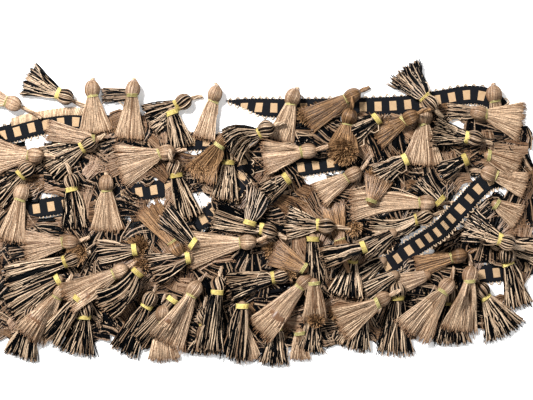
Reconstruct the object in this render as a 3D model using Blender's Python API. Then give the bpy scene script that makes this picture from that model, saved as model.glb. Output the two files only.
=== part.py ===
"""A tassel fringe trim laid back and forth in a flat heap: one long woven tape, and its tassels.

Blender 4.5, metres, +Z up. The heap lies on Z = 0. Its plan is given on a 533 x 400 drawing of
the heap seen from above, x to the right and y down, and PLAN turns that into real millimetres.
"""

from collections import namedtuple
from math import atan2, ceil, cos, hypot, pi, sin

import bmesh
import bpy
import numpy as np

MM = 0.001
PLAN = 0.8  # real millimetres for each unit of the drawing
MIDDLE = (249.293, 212.165)  # the place on the drawing that is the frame's origin

TAPE_WIDE = 16.0
TAPE_THICK = 1.6
TAPE_STEP = 7.0
TAPE_POINT = 34.0  # the length over which the cut end widens from its point
HEAD_HALF = 6.4
HEAD_LONG = 13.0
NECK_HALF = 4.2
HANGER_HALF = 1.5
HANGER_LONG = 9.0
SKIRT_HALF = 3.2
END_HALF = 2.2
LOCK_STEPS = (0.0, 0.3, 0.65, 1.0)
LOCK_GAP = 0.86  # each lock's share of its place across the skirt
CLEAR = 0.4  # air between one piece and the next above it
STEEPEST = 0.8  # rise over run, for a tassel's parts
TAPE_STEEPEST = 0.5
CELL = 1.0
FIELD_LOW = (-330.0, -230.0)
FIELD_CELLS = (680, 470)
ROUND = 0.8  # how far a head's or skirt's section falls off towards its two sides

Tassel = namedtuple("Tassel", "yarn tie_x tie_y end_x end_y half bend lift")
# The lowest first. The tie's place, the middle of the skirt's cut end, half that end's width, how
# far the skirt bows to its left, all on the drawing, and how far the cut end stands up in mm.
TASSELS = [Tassel(*row) for row in (
    ("striped", 205, 325, 205, 356, 16, 0, 0),
    ("striped", 276, 330, 274, 366, 16, 0, 0),
    ("striped", 312, 320, 309, 354, 16, 0, 0),
    ("striped", 362, 314, 352, 350, 20, 0, 0),
    ("striped", 452, 304, 452, 346, 22, 0, 0),
    ("striped", 84, 318, 76, 356, 20, 0, 0),
    ("striped", 30, 322, 18, 359, 18, 0, 0),
    ("plain", 163, 322, 164, 362, 17, 0, 0),
    ("plain", 172, 242, 146, 206, 15, 0, 2),
    ("striped", 352, 262, 345, 298, 19, 0, 2),
    ("plain", 340, 240, 332, 203, 13, 0, 0),
    ("striped", 57, 93, 24, 77, 19, 0, 0),
    ("plain", 5, 101, -32, 88, 15, 0, 0),
    ("plain", 92, 96, 95, 133, 17, 0, 0),
    ("plain", 19, 200, 10, 242, 14, 0, 0),
    ("striped", 176, 105, 146, 120, 18, 0, 0),
    ("plain", 213, 101, 203, 139, 12, 0, 0),
    ("plain", 346, 99, 306, 122, 14, 0, 0),
    ("plain", 291, 104, 280, 141, 15, 0, 0),
    ("plain", 348, 124, 342, 152, 17, 0, 9),
    ("plain", 425, 124, 423, 166, 22, 0, 0),
    ("striped", 425, 97, 402, 68, 21, 0, 0),
    ("plain", 487, 114, 525, 121, 22, 0, 0),
    ("striped", 507, 245, 541, 252, 16, 0, 0),
    ("striped", 509, 264, 520, 309, 14, 0, 0),
    ("striped", 487, 298, 508, 336, 22, 0, 0),
    ("plain", 300, 288, 258, 332, 17, 0, 0),
    ("plain", 56, 298, 28, 338, 18, 0, 0),
    ("striped", 398, 299, 396, 356, 18, 0, 0),
    ("plain", 132, 96, 128, 139, 15, 0, 0),
    ("striped", 81, 147, 43, 166, 22, 0, 0),
    ("plain", 27, 155, -12, 156, 21, 0, 0),
    ("striped", 71, 190, 74, 230, 14, 0, 0),
    ("plain", 106, 191, 106, 232, 17, 0, 0),
    ("plain", 159, 154, 116, 165, 22, 0, 0),
    ("striped", 228, 163, 224, 200, 14, 0, 0),
    ("plain", 219, 147, 198, 178, 18, 0, 3),
    ("striped", 176, 176, 189, 219, 14, 0, 0),
    ("striped", 259, 133, 228, 150, 20, -6, 3),
    ("plain", 301, 152, 262, 158, 19, 0, 0),
    ("plain", 404, 121, 375, 137, 15, 0, 0),
    ("striped", 467, 137, 432, 131, 16, 0, 0),
    ("plain", 347, 178, 318, 196, 14, 0, 0),
    ("striped", 498, 239, 464, 224, 20, 0, 0),
    ("striped", 64, 262, 3, 281, 15, 0, 0),
    ("striped", 217, 293, 209, 352, 14, 0, 0),
    ("plain", 191, 296, 165, 344, 19, 0, 0),
    ("striped", 146, 307, 122, 354, 16, 0, 0),
    ("plain", 113, 275, 66, 299, 17, 0, 0),
    ("plain", 376, 303, 338, 326, 20, 0, 0),
    ("plain", 469, 282, 460, 332, 19, 0, 0),
    ("plain", 442, 292, 411, 335, 21, 0, 0),
    ("striped", 318, 225, 285, 222, 19, 0, 0),
    ("striped", 273, 278, 227, 288, 15, 0, 0),
    ("striped", 261, 229, 212, 215, 16, 0, 0),
    ("plain", 240, 243, 186, 250, 20, 0, 0),
    ("plain", 420, 203, 350, 207, 15, -4, 0),
    ("striped", 417, 220, 372, 232, 15, 5, 0),
    ("plain", 497, 176, 528, 186, 14, 0, 0),
)]
OVER_TAPE = 1  # how many of them, the last ones, lie over the tape's last stretch

# Cords that reach further back to the tape than others, or are tucked under their own head, in mm,
# by the place of their tassel's tie.
HANGERS = {
    (57, 93): 16.0, (5, 101): 18.0, (420, 203): 16.0, (417, 220): 15.0, (340, 240): 14.0,
    (84, 318): 14.0, (318, 225): 14.0, (92, 96): 2.0, (132, 96): 2.0, (213, 101): 2.0,
    (291, 104): 2.0, (106, 191): 2.0, (425, 124): 2.0,
}

# The tape's middle line on the drawing, from one free end to the other, in three stretches. The
# first two lie under all the tassels, and the third crosses over most of them.
TAPE_ROUTE = {
    "floor": [
        (226, 100), (247, 103), (268, 107), (315, 107), (395, 105), (440, 99), (470, 94), (492, 98),
        (504, 113), (499, 134), (477, 148), (440, 156), (400, 160), (345, 161), (295, 168), (250, 175),
        (215, 180), (165, 188), (95, 199), (25, 210), (-25, 213), (-55, 198), (-56, 164),
        (-28, 143), (5, 134), (45, 124), (82, 122), (115, 136), (165, 142), (205, 141),
        (236, 152), (241, 178), (205, 218), (140, 240), (60, 248), (-15, 252), (-52, 272),
        (-50, 304), (-15, 319), (60, 318), (150, 308), (250, 306), (350, 302), (440, 290),
        (478, 276), (506, 272), (540, 262), (556, 236),
    ],
    "top": [
        (556, 208), (547, 194), (528, 184), (506, 178), (488, 182), (470, 199), (450, 220), (428, 238),
        (405, 254), (379, 272),
    ],
}


def clear_scene():
    for obj in list(bpy.data.objects):
        bpy.data.objects.remove(obj)


def cloth(name, colour):
    """A woven or spun finish of one colour."""
    material = bpy.data.materials.new(name)
    material.use_nodes = True
    shader = material.node_tree.nodes["Principled BSDF"]
    shader.inputs["Base Color"].default_value = (*colour, 1.0)
    shader.inputs["Roughness"].default_value = 0.6
    shader.inputs["Metallic"].default_value = 0.0
    return material


def placed(x, y):
    """A place on the drawing in real millimetres from the frame's origin."""
    return np.array([(x - MIDDLE[0]) * PLAN, (MIDDLE[1] - y) * PLAN])


class Heap:
    """The height of all that has been laid so far, on a grid of square cells."""

    def __init__(self):
        self.top = np.zeros(FIELD_CELLS)

    def cells(self, points):
        index = np.floor((points - FIELD_LOW) / CELL).astype(int)
        return index[:, 0], index[:, 1]

    def under(self, points):
        """The height that each point has to clear."""
        found = self.top[self.cells(points)]
        return np.where(found > 0, found + CLEAR, 0.0)

    def cover(self, points, heights):
        """Raises the heap to these heights, and the cells around them too."""
        new = np.zeros(FIELD_CELLS)
        np.maximum.at(new, self.cells(points), heights)
        low = np.maximum.reduce([np.roll(new, step, 0) for step in (-1, 0, 1)])
        wide = np.maximum.reduce([np.roll(low, step, 1) for step in (-1, 0, 1)])
        self.top = np.maximum(self.top, wide)


def patch(a_left, a_right, b_left, b_right):
    """Points all over a four-sided patch, with how far along and across it each one lies."""
    long = max(hypot(*(b_left - a_left)), hypot(*(b_right - a_right)))
    wide = max(hypot(*(a_right - a_left)), hypot(*(b_right - b_left)))
    along, across = np.meshgrid(
        np.linspace(0, 1, ceil(long / 0.6) + 1), np.linspace(0, 1, ceil(wide / 0.6) + 1)
    )
    along, across = along.ravel()[:, None], across.ravel()[:, None]
    left = a_left * (1 - along) + b_left * along
    right = a_right * (1 - along) + b_right * along
    return left * (1 - across) + right * across, along[:, 0], across[:, 0]


def settle(heap, count, links, steepest):
    """The lowest undersides of `count` sections that clear the heap and slope gently.

    links are (i, j, patch, hollow) between sections, hollow being how far the underside curves up
    at each of the patch's points, and steepest is the rise over run allowed.
    """
    height = np.zeros(count)
    needs = []
    for i, j, (points, along, _), hollow in links:
        gap = max(hypot(*(points[-1] - points[0])), 1.0)
        needs.append((i, j, along, heap.under(points) - hollow, gap))
    for _ in range(60):
        moved = 0.0
        for i, j, along, need, gap in needs:
            lack = need - ((1 - along) * height[i] + along * height[j])
            worst = lack.argmax()
            if lack[worst] > 1e-4:
                a = along[worst]
                share = lack[worst] / ((1 - a) ** 2 + a**2)
                height[i] += share * (1 - a)
                height[j] += share * a
                moved = max(moved, lack[worst])
            fall = abs(height[i] - height[j]) - steepest * gap
            if fall > 1e-4:
                height[i if height[i] < height[j] else j] += fall
                moved = max(moved, fall)
        if moved < 1e-3:
            break
    for i, j, along, need, gap in needs:
        lack = (need - ((1 - along) * height[i] + along * height[j])).max()
        if lack > 0:
            height[i] += lack
            height[j] += lack
    for _ in range(6):
        for k in range(count):
            height[k] -= max(room_below(height, needs, k, steepest), 0.0)
    return height


def room_below(height, needs, section, steepest):
    """How far one section can sink before it meets the heap or slopes too steeply."""
    room = height[section]
    for i, j, along, need, gap in needs:
        if section in (i, j):
            weight = 1 - along if section == i else along
            slack = (1 - along) * height[i] + along * height[j] - need
            other = height[j if section == i else i]
            slope = height[section] - other + steepest * gap
            room = min(room, (slack / np.maximum(weight, 1e-9)).min(), slope)
    return room


def smooth_route(points, step):
    """Points an even step apart on a smooth curve through the given ones."""
    points = np.array([placed(*point) for point in points])
    ends = np.vstack([2 * points[0] - points[1], points, 2 * points[-1] - points[-2]])
    fine = []
    for a, b, c, d in zip(ends, ends[1:], ends[2:], ends[3:]):
        for t in np.linspace(0, 1, 24, endpoint=False):
            fine.append(
                0.5 * (2 * b + (c - a) * t + (2 * a - 5 * b + 4 * c - d) * t**2
                       + (3 * b - a - 3 * c + d) * t**3)
            )
    fine = np.array([*fine, points[-1]])
    run = np.concatenate([[0], np.cumsum(np.hypot(*np.diff(fine, axis=0).T))])
    spaced = np.linspace(0, run[-1], round(run[-1] / step) + 1)
    return np.column_stack([np.interp(spaced, run, fine[:, axis]) for axis in (0, 1)])


def across_route(line):
    """The unit direction to the left of the route at each of its points."""
    ahead = np.gradient(line, axis=0)
    ahead /= np.hypot(*ahead.T)[:, None]
    return np.column_stack([-ahead[:, 1], ahead[:, 0]])


def tape_halves(line):
    """Half the tape's width at each section: its first end is cut to a slanting point."""
    run = np.concatenate([[0], np.cumsum(np.hypot(*np.diff(line, axis=0).T))])
    return TAPE_WIDE / 2 * np.clip(0.12 + run / TAPE_POINT, 0, 1)


def lay_tape(heap, line, side, first, last):
    """Lays sections first to last of the tape on the heap and returns their undersides."""
    half = tape_halves(line)[:, None]
    left, right = line + side * half, line - side * half
    links = [
        (i - first, i + 1 - first, patch(left[i], right[i], left[i + 1], right[i + 1]), 0.0)
        for i in range(first, last)
    ]
    height = settle(heap, last - first + 1, links, TAPE_STEEPEST)
    return height, links


def cover_tape(heap, height, links):
    for i, j, (points, along, _), _ in links:
        heap.cover(points, (1 - along) * height[i] + along * height[j] + TAPE_THICK)


def loft(bm, rings):
    """Joins rings of points with faces and returns the rings as vertices."""
    made = [[bm.verts.new(point) for point in ring] for ring in rings]
    for low, high in zip(made, made[1:]):
        for k in range(len(low)):
            after = (k + 1) % len(low)
            bm.faces.new((low[k], low[after], high[after], high[k]))
    return made


def finish(name, bm, material):
    """Turns the faces out, makes the object and gives it its finish."""
    for vert in bm.verts:
        vert.co *= MM
    bmesh.ops.triangulate(bm, faces=bm.faces)
    bmesh.ops.recalc_face_normals(bm, faces=bm.faces)
    mesh = bpy.data.meshes.new(name)
    bm.to_mesh(mesh)
    bm.free()
    mesh.materials.append(material)
    obj = bpy.data.objects.new(name, mesh)
    bpy.context.scene.collection.objects.link(obj)
    return obj


def make_tape(name, line, side, height, material):
    """The woven tape, a flat ribbon whose four-sided sections follow its middle line."""
    bm = bmesh.new()
    rings = []
    for (x, y), (u, v), half, z in zip(line, side, tape_halves(line), height):
        rings.append([
            (x - u * half, y - v * half, z),
            (x - u * half, y - v * half, z + TAPE_THICK),
            (x + u * half, y + v * half, z + TAPE_THICK),
            (x + u * half, y + v * half, z),
        ])
    made = loft(bm, rings)
    bm.faces.new(made[0])
    bm.faces.new(made[-1])
    return finish(name, bm, material)


def fall_off(across):
    """The share of a section's half height that is left this far, -1 to 1, across it."""
    return np.sqrt(1 - (ROUND * across) ** 2)


class Shape:
    """The plan of one tassel: hanger, round head, tied neck and a skirt of locks that fans out."""

    def __init__(self, tassel):
        self.tassel = tassel
        self.tie = placed(tassel.tie_x, tassel.tie_y)
        reach = placed(tassel.end_x, tassel.end_y) - self.tie
        self.long = hypot(*reach)
        self.ahead = reach / self.long
        self.side = np.array([-self.ahead[1], self.ahead[0]])
        self.half = tassel.half * PLAN
        self.locks = 5 if tassel.half >= 17 else 4
        self.cord = HANGERS.get(tassel[1:3], HANGER_LONG)

    def trunk(self):
        """Sections from the hanger's end to the neck: place, half width and half height."""
        return [
            (self.tie - self.ahead * (HEAD_LONG + self.cord), HANGER_HALF, HANGER_HALF),
            (self.tie - self.ahead * HEAD_LONG, HANGER_HALF * 1.3, HANGER_HALF * 1.3),
            (self.tie - self.ahead * HEAD_LONG * 0.8, HEAD_HALF * 0.8, HEAD_HALF * 0.8),
            (self.tie - self.ahead * HEAD_LONG * 0.35, HEAD_HALF, HEAD_HALF),
            (self.tie, NECK_HALF, NECK_HALF),
        ]

    def skirt(self, along, across):
        """The plan place this far down the skirt, 0 to 1, and this far, -1 to 1, across it."""
        turn = atan2(self.half - NECK_HALF, self.long) * across
        start = self.tie + self.side * NECK_HALF * across
        ahead = self.ahead * cos(turn) + self.side * sin(turn)
        bow = self.side * self.tassel.bend * PLAN * sin(pi * along)
        return start + ahead * self.long * along + bow

    def skirt_half(self, along, across):
        """Half the skirt's height there."""
        full = NECK_HALF + (SKIRT_HALF - NECK_HALF) * min(along / 0.3, 1)
        full += (END_HALF - SKIRT_HALF) * along
        return full * (fall_off(across) if along == 0 else 1)


def lay_tassel(heap, shape):
    """Undersides of the trunk's sections and of each lock's, resting on the heap."""
    trunk = shape.trunk()
    links = []
    for i, ((a, wide_a, half_a), (b, wide_b, half_b)) in enumerate(zip(trunk, trunk[1:])):
        area = patch(
            a + shape.side * wide_a, a - shape.side * wide_a,
            b + shape.side * wide_b, b - shape.side * wide_b,
        )
        _, along, across = area
        half = (1 - along) * half_a + along * half_b
        links.append((i, i + 1, area, half * (1 - fall_off(2 * across - 1))))
    count = len(trunk)
    neck = count - 1
    tops = [2 * half for _, _, half in trunk]
    rises = [0.0] * count
    names = []
    for lock in range(shape.locks):
        left, right = lock_sides(shape.locks, lock)
        chain = [neck]
        for along in LOCK_STEPS[1:]:
            chain.append(count)
            middle = (left + right) / 2
            tops.append(2 * shape.skirt_half(along, middle))
            rises.append(shape.tassel.lift * along**2)
            count += 1
        for k, (low, high) in enumerate(zip(LOCK_STEPS, LOCK_STEPS[1:])):
            area = patch(
                shape.skirt(low, left), shape.skirt(low, right),
                shape.skirt(high, left), shape.skirt(high, right),
            )
            links.append((chain[k], chain[k + 1], area, 0.0))
        names.append(chain)
    height = settle(heap, count, links, STEEPEST) + rises
    for i, j, (points, along, _), hollow in links:
        under = (1 - along) * height[i] + along * height[j]
        heap.cover(points, under + (1 - along) * tops[i] + along * tops[j] - hollow)
    return height, names


def lock_sides(locks, lock):
    """Where across the skirt one lock's place starts and ends."""
    wide = 2 / locks
    return -1 + wide * lock, -1 + wide * (lock + 1)


def make_tassel(name, shape, height, chains, material):
    """One closed body: the trunk's sections are rings, and each lock grows from a face of the last."""
    columns = [-1 + 2 * k / shape.locks for k in range(shape.locks + 1)]
    bm = bmesh.new()
    rings = []
    for (place, wide, half), under in zip(shape.trunk(), height):
        def corner(across, up):
            x, y = place + shape.side * wide * across
            return (x, y, under + half * (1 + up * fall_off(across)))
        rings.append([corner(u, 1) for u in columns] + [corner(u, -1) for u in reversed(columns)])
    made = loft(bm, rings)
    bm.faces.new(made[0])
    neck = made[-1]
    tops, bottoms = neck[:len(columns)], neck[len(columns):][::-1]
    for lock, chain in enumerate(chains):
        left, right = lock_sides(shape.locks, lock)
        middle, reach = (left + right) / 2, LOCK_GAP / shape.locks
        before = [tops[lock], tops[lock + 1], bottoms[lock + 1], bottoms[lock]]
        for along, section in zip(LOCK_STEPS[1:], chain[1:]):
            half = shape.skirt_half(along, middle)
            ring = []
            for across, up in ((-reach, 2), (reach, 2), (reach, 0), (-reach, 0)):
                x, y = shape.skirt(along, middle + across)
                ring.append(bm.verts.new((x, y, height[section] + up * half)))
            for k in range(4):
                after = (k + 1) % 4
                bm.faces.new((before[k], before[after], ring[after], ring[k]))
            before = ring
        bm.faces.new(before)
    return finish(name, bm, material)


def main():
    clear_scene()
    plain = cloth("beige yarn", (0.52, 0.34, 0.20))
    striped = cloth("black and beige yarn", (0.16, 0.12, 0.09))
    woven = cloth("black woven tape", (0.012, 0.013, 0.018))
    heap = Heap()
    floor = smooth_route(TAPE_ROUTE["floor"], TAPE_STEP)
    line = smooth_route(TAPE_ROUTE["floor"] + TAPE_ROUTE["top"], TAPE_STEP)
    side = across_route(line)
    turn = len(floor)
    crossing = crossing_section(line)
    before, first_links = lay_tape(heap, line, side, 0, crossing)
    cover_tape(heap, before, first_links)
    after, links = lay_tape(heap, line, side, crossing, turn)
    before[-1] = after[0] = max(after[0], before[-1])
    cover_tape(heap, after, links)
    cover_tape(heap, before, first_links)
    for number, tassel in enumerate(TASSELS, 1):
        if number == len(TASSELS) - OVER_TAPE + 1:
            last, links = lay_tape(heap, line, side, turn, len(line) - 1)
            cover_tape(heap, last, links)
        shape = Shape(tassel)
        height, chains = lay_tassel(heap, shape)
        material = striped if tassel.yarn == "striped" else plain
        make_tassel(f"tassel_{number:02}", shape, height, chains, material)
    make_tape("tape", line, side, [*before[:-1], *after[:-1], *last], woven)


def crossing_section(line):
    """The section where the tape, come back along itself, is about to pass over its first run."""
    apart = np.hypot(*(line[:, None] - line[None]).transpose(2, 0, 1))
    for i in range(len(line)):
        near = np.nonzero(apart[i, : max(i - 12, 0)] < TAPE_WIDE * 1.3)[0]
        if len(near):
            return i - 3
    return len(line) - 1


main()
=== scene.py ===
"""Looks of a tassel fringe trim, a woven tape with its tassels, lying in a flat heap.

Blender 4.5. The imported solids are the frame. Plan places are given on a 533 x 400 drawing of the
heap from above, as the solids' own were, and heights are read from the solids.
"""

from collections import namedtuple
from math import atan2, cos, hypot, pi, sin, tau

import bpy
import numpy as np
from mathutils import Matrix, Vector, kdtree


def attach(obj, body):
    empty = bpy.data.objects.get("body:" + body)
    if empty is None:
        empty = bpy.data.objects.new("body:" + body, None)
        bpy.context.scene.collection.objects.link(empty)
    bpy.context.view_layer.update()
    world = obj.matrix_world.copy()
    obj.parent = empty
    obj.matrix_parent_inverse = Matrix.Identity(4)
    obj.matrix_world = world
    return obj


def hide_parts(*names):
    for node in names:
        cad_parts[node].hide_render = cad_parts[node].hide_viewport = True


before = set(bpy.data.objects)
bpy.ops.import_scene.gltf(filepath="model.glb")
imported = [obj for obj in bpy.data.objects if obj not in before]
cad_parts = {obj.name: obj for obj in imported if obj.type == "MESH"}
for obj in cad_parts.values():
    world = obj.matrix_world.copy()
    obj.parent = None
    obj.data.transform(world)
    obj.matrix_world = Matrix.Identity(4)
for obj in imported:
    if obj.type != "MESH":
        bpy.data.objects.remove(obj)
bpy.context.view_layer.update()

MM = 0.001
PLAN = 0.8
MIDDLE = (249.293, 212.165)
VIEW_MIDDLE = (266.5, 200.0)
VIEW_WIDE = 533

TAPE_WIDE = 16.0
TAPE_STEP = 7.0
TAPE_POINT = 34.0
HEAD_HALF = 6.4
HEAD_LONG = 13.0
NECK_HALF = 4.2
HANGER_HALF = 1.5
HANGER_LONG = 9.0
SKIRT_HALF = 3.2
END_HALF = 2.2
LOCK_STEPS = (0.0, 0.3, 0.65, 1.0)
LOCK_GAP = 0.86

Tassel = namedtuple("Tassel", "yarn tie_x tie_y end_x end_y half bend lift")
TASSELS = [Tassel(*row) for row in (
    ("striped", 205, 325, 205, 356, 16, 0, 0),
    ("striped", 276, 330, 274, 366, 16, 0, 0),
    ("striped", 312, 320, 309, 354, 16, 0, 0),
    ("striped", 362, 314, 352, 350, 20, 0, 0),
    ("striped", 452, 304, 452, 346, 22, 0, 0),
    ("striped", 84, 318, 76, 356, 20, 0, 0),
    ("striped", 30, 322, 18, 359, 18, 0, 0),
    ("plain", 163, 322, 164, 362, 17, 0, 0),
    ("plain", 172, 242, 146, 206, 15, 0, 2),
    ("striped", 352, 262, 345, 298, 19, 0, 2),
    ("plain", 340, 240, 332, 203, 13, 0, 0),
    ("striped", 57, 93, 24, 77, 19, 0, 0),
    ("plain", 5, 101, -32, 88, 15, 0, 0),
    ("plain", 92, 96, 95, 133, 17, 0, 0),
    ("plain", 19, 200, 10, 242, 14, 0, 0),
    ("striped", 176, 105, 146, 120, 18, 0, 0),
    ("plain", 213, 101, 203, 139, 12, 0, 0),
    ("plain", 346, 99, 306, 122, 14, 0, 0),
    ("plain", 291, 104, 280, 141, 15, 0, 0),
    ("plain", 348, 124, 342, 152, 17, 0, 9),
    ("plain", 425, 124, 423, 166, 22, 0, 0),
    ("striped", 425, 97, 402, 68, 21, 0, 0),
    ("plain", 487, 114, 525, 121, 22, 0, 0),
    ("striped", 507, 245, 541, 252, 16, 0, 0),
    ("striped", 509, 264, 520, 309, 14, 0, 0),
    ("striped", 487, 298, 508, 336, 22, 0, 0),
    ("plain", 300, 288, 258, 332, 17, 0, 0),
    ("plain", 56, 298, 28, 338, 18, 0, 0),
    ("striped", 398, 299, 396, 356, 18, 0, 0),
    ("plain", 132, 96, 128, 139, 15, 0, 0),
    ("striped", 81, 147, 43, 166, 22, 0, 0),
    ("plain", 27, 155, -12, 156, 21, 0, 0),
    ("striped", 71, 190, 74, 230, 14, 0, 0),
    ("plain", 106, 191, 106, 232, 17, 0, 0),
    ("plain", 159, 154, 116, 165, 22, 0, 0),
    ("striped", 228, 163, 224, 200, 14, 0, 0),
    ("plain", 219, 147, 198, 178, 18, 0, 3),
    ("striped", 176, 176, 189, 219, 14, 0, 0),
    ("striped", 259, 133, 228, 150, 20, -6, 3),
    ("plain", 301, 152, 262, 158, 19, 0, 0),
    ("plain", 404, 121, 375, 137, 15, 0, 0),
    ("striped", 467, 137, 432, 131, 16, 0, 0),
    ("plain", 347, 178, 318, 196, 14, 0, 0),
    ("striped", 498, 239, 464, 224, 20, 0, 0),
    ("striped", 64, 262, 3, 281, 15, 0, 0),
    ("striped", 217, 293, 209, 352, 14, 0, 0),
    ("plain", 191, 296, 165, 344, 19, 0, 0),
    ("striped", 146, 307, 122, 354, 16, 0, 0),
    ("plain", 113, 275, 66, 299, 17, 0, 0),
    ("plain", 376, 303, 338, 326, 20, 0, 0),
    ("plain", 469, 282, 460, 332, 19, 0, 0),
    ("plain", 442, 292, 411, 335, 21, 0, 0),
    ("striped", 318, 225, 285, 222, 19, 0, 0),
    ("striped", 273, 278, 227, 288, 15, 0, 0),
    ("striped", 261, 229, 212, 215, 16, 0, 0),
    ("plain", 240, 243, 186, 250, 20, 0, 0),
    ("plain", 420, 203, 350, 207, 15, -4, 0),
    ("striped", 417, 220, 372, 232, 15, 5, 0),
    ("plain", 497, 176, 528, 186, 14, 0, 0),
)]
# Tassels past the number that the solids hold. The last value is the height in mm of what each one
# lies on.
ON_TOP = -1.0  # in place of that height, it lies on the solids there
DEEPER = [(Tassel(*row[:-1], 0), row[-1]) for row in (
    ("plain", 92, 140, 46, 130, 11, 0, 2),
    ("striped", 130, 94, 101, 95, 8, 0, 0),
    ("striped", 172, 113, 181, 148, 13, 0, 2),
    ("striped", 20, 175, -8, 200, 14, 0, 2),
    ("striped", 376, 119, 350, 134, 14, 0, 3),
    ("plain", 490, 156, 520, 168, 14, 0, 6),
    ("plain", 496, 101, 499, 120, 9, 0, 0),
    ("plain", 62, 243, 22, 247, 18, 0, 3),
    ("striped", 133, 250, 95, 254, 15, 0, ON_TOP),
    ("striped", 187, 258, 150, 272, 18, 0, 4),
    ("striped", 137, 273, 98, 306, 19, 6, ON_TOP),
    ("striped", 172, 301, 134, 342, 13, 0, 3),
    ("plain", 243, 328, 250, 362, 12, 0, 0),
    ("striped", 242, 307, 234, 361, 14, 0, 6),
    ("plain", 300, 335, 300, 361, 11, 0, 0),
    ("plain", 314, 284, 315, 322, 13, 0, ON_TOP),
    ("plain", 303, 268, 272, 252, 16, 0, 6),
    ("striped", 250, 222, 262, 188, 15, 0, 5),
    ("striped", 286, 179, 262, 196, 12, 0, 6),
    ("striped", 313, 240, 317, 284, 12, 0, ON_TOP),
    ("striped", 362, 247, 322, 258, 12, 0, ON_TOP),
    ("striped", 405, 160, 375, 178, 15, 0, 2),
    ("striped", 465, 160, 440, 174, 12, 0, 3),
    ("plain", 498, 205, 522, 218, 14, 0, 2),
    ("plain", 452, 258, 416, 268, 12, 0, 0),
    ("striped", 57, 281, 8, 312, 18, 0, 3),
    ("striped", 78, 300, 46, 341, 14, 0, 8),
    ("striped", 192, 243, 160, 212, 14, 0, 6),
    ("striped", 440, 200, 420, 178, 14, 0, 2),
    ("striped", 394, 276, 362, 296, 15, 0, 1),
    ("plain", 426, 276, 394, 286, 12, 0, 0),
    ("plain", 372, 200, 380, 176, 16, 0, 3),
    ("striped", 392, 234, 362, 254, 14, 0, 1),
    ("striped", 382, 262, 352, 284, 14, 0, 0),
    ("striped", 476, 112, 447, 111, 8, 0, 0),
)]
# The deeper ones whose heads come out between the others, and those whose ties don't show, by the
# place of their tie.
SHOWN = {(496, 101), (452, 258), (20, 175), (62, 243)}
HIDDEN_TIES = {(394, 276), (392, 234), (382, 262), (426, 276), (476, 112)}
# Tassels darkened and browned as painted shade of the heap and of their cut ends, by the place of
# their tie.
BROWN = {
    (172, 242), (340, 240), (346, 99), (348, 124), (219, 147), (404, 121),
    (303, 268), (452, 258), (372, 200),
}

TAPE_ROUTE = {
    "floor": [
        (226, 100), (247, 103), (268, 107), (315, 107), (395, 105), (440, 99), (470, 94), (492, 98),
        (504, 113), (499, 134), (477, 148), (440, 156), (400, 160), (345, 161), (295, 168), (250, 175),
        (215, 180), (165, 188), (95, 199), (25, 210), (-25, 213), (-55, 198), (-56, 164),
        (-28, 143), (5, 134), (45, 124), (82, 122), (115, 136), (165, 142), (205, 141),
        (236, 152), (241, 178), (205, 218), (140, 240), (60, 248), (-15, 252), (-52, 272),
        (-50, 304), (-15, 319), (60, 318), (150, 308), (250, 306), (350, 302), (440, 290),
        (478, 276), (506, 272), (540, 262), (556, 236),
    ],
    "top": [
        (556, 208), (547, 194), (528, 184), (506, 178), (488, 182), (470, 199), (450, 220), (428, 238),
        (405, 254), (379, 272),
    ],
}

HANGERS = {
    (57, 93): 16.0, (5, 101): 18.0, (420, 203): 16.0, (417, 220): 15.0, (340, 240): 14.0,
    (84, 318): 14.0, (318, 225): 14.0, (92, 96): 2.0, (132, 96): 2.0, (213, 101): 2.0,
    (291, 104): 2.0, (106, 191): 2.0, (425, 124): 2.0, (496, 101): 2.0,
}
# The ground that the heap covers, and the clear places in it: their middle and half sides.
GROUND = [
    (-30, 125), (60, 120), (100, 112), (160, 112), (215, 138), (262, 128), (300, 114), (400, 112),
    (440, 106), (488, 106), (535, 128), (540, 250), (520, 296), (500, 328), (440, 340),
    (350, 346), (260, 354), (200, 350), (150, 346), (100, 342), (60, 338), (-30, 345),
]
CLEARINGS = [
    (46, 105, 20, 8), (34, 147, 9, 7), (187, 121, 15, 12), (245, 113, 18, 10), (202, 208, 12, 19),
    (158, 203, 9, 5), (458, 125, 8, 6), (500, 293, 7, 6), (127, 215, 3, 8), (311, 177, 9, 6),
    (40, 128, 42, 12), (48, 205, 24, 10), (150, 189, 20, 8), (190, 141, 13, 8), (320, 166, 26, 8),
    (492, 274, 14, 10),
]
TAPE_CLEAR = 10.5  # how far from the middle of the tape's last stretch the ground starts
# Cut ends that face up, brush like: their middle, half width and how far they stand up in mm.
BRUSHES = [
    (199, 165, 13, 5), (308, 116, 10, 5), (318, 108, 8, 4), (345, 150, 15, 8), (385, 130, 11, 5),
    (80, 252, 11, 5), (140, 247, 11, 6), (141, 266, 9, 5), (272, 250, 9, 5), (287, 270, 11, 6),
    (316, 320, 10, 5), (336, 314, 8, 4), (373, 180, 10, 5), (354, 226, 9, 5), (124, 296, 9, 4),
]
# How many strands a skirt of middling width has, and half their thickness in mm.
STRANDS = {"plain": 215, "striped": 110}
STRAND_HALF = {"plain": 0.38, "striped": 0.56}
UPPER_SHARE = 0.8  # of a skirt's strands, how many lie on its upper side
STRAY_SHARE = 0.08  # and how many lie out of line
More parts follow.
